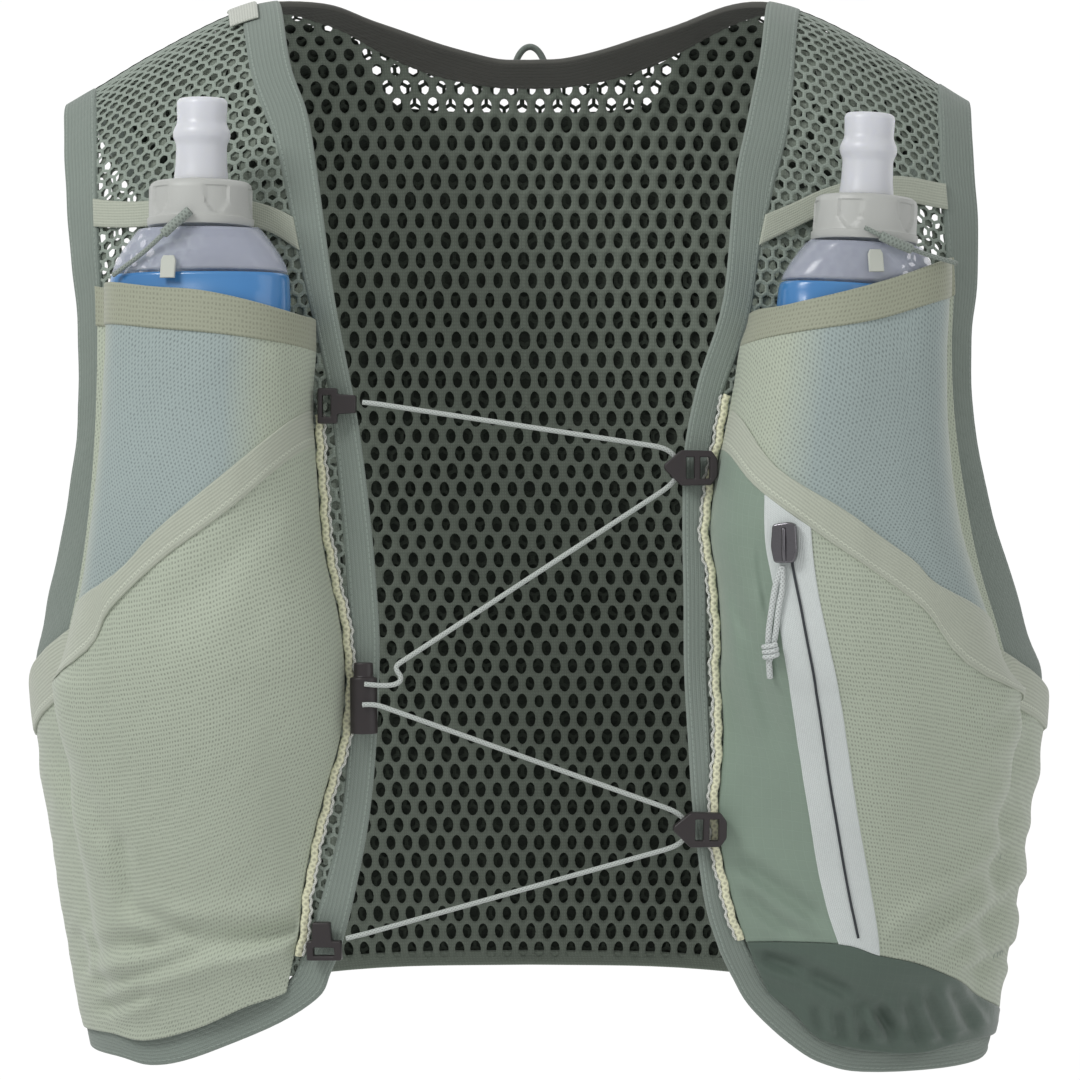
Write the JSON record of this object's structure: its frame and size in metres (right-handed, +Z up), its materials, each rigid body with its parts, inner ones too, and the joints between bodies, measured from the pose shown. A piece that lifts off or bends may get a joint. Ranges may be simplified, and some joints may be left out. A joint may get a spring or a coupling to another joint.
{
  "type": "running hydration vest",
  "caption": "Sleeveless mesh vest for running, with two soft flasks in stretch chest pockets, lower stash pockets, a zip pocket and zig-zag cord lacing across the chest.",
  "frame": {"origin": "between the shoulders, on the wearer's middle plane and in the plane of the side seams, at the height of the shoulder tops: where a body carries the vest", "axes": "+Z up, -Y out of the chest, +X to the right as seen from the front"},
  "size_m": [0.4494, 0.2762, 0.4671],
  "materials": {
    "spacer_mesh": "open spacer mesh, dark green",
    "woven_tape": "matt folded edge tape, grey green",
    "stretch_pocket": "matt power mesh, sage green",
    "elastic_band": "ribbed elastic",
    "ripstop": "light ripstop with a soft sheen",
    "dark_nylon": "thin gathered nylon",
    "zip_tape": "woven coil-zip tape",
    "cream_braid": "flat braid",
    "black_plastic": "moulded, satin",
    "dark_chrome": "dark and shiny",
    "grey_cord": "round woven cord and webbing",
    "cap_plastic": "moulded, satin",
    "valve_silicone": "translucent soft silicone",
    "flask_film": "thin clear film over a blue drink"
  },
  "bodies": {
    "root": {"back_panel": "spacer_mesh", "neck_binding": "woven_tape", "front_panel_left": "spacer_mesh", "front_panel_right": "spacer_mesh", "front_binding_left": "woven_tape", "front_binding_right": "woven_tape", "hem_binding_left": "woven_tape", "hem_binding_right": "woven_tape", "armhole_binding_left": "woven_tape", "armhole_binding_right": "woven_tape", "flask_pocket_hem_left": "stretch_pocket", "flask_pocket_hem_right": "stretch_pocket", "flask_pocket_left": "stretch_pocket", "flask_pocket_right": "stretch_pocket", "diagonal_band_left": "elastic_band", "diagonal_band_right": "elastic_band", "lower_pocket_left": "stretch_pocket", "lower_pocket_right": "stretch_pocket", "ripstop_panel": "ripstop", "zip_tape": "zip_tape", "gusset": "dark_nylon", "flask_body_left": "flask_film", "flask_body_right": "flask_film", "flask_cap_left": "cap_plastic", "flask_cap_right": "cap_plastic", "flask_valve_left": "valve_silicone", "flask_valve_right": "valve_silicone", "flask_leash_left": "grey_cord", "flask_leash_right": "grey_cord", "pocket_tab_left": "grey_cord", "pocket_tab_right": "grey_cord", "flask_strap_left": "elastic_band", "flask_strap_right": "elastic_band", "lace_rail_left": "cream_braid", "lace_rail_right": "cream_braid", "clip_top": "black_plastic", "clip_bottom": "black_plastic", "cord_adjuster": "black_plastic", "hook_upper": "black_plastic", "hook_lower": "black_plastic", "lace_upper": "grey_cord", "lace_lower": "grey_cord", "zip_slider": "dark_chrome", "zip_pull_cord": "grey_cord", "zip_pull_knot": "grey_cord", "hang_loop": "woven_tape", "shoulder_tab": "grey_cord"}
  },
  "joints": []
}
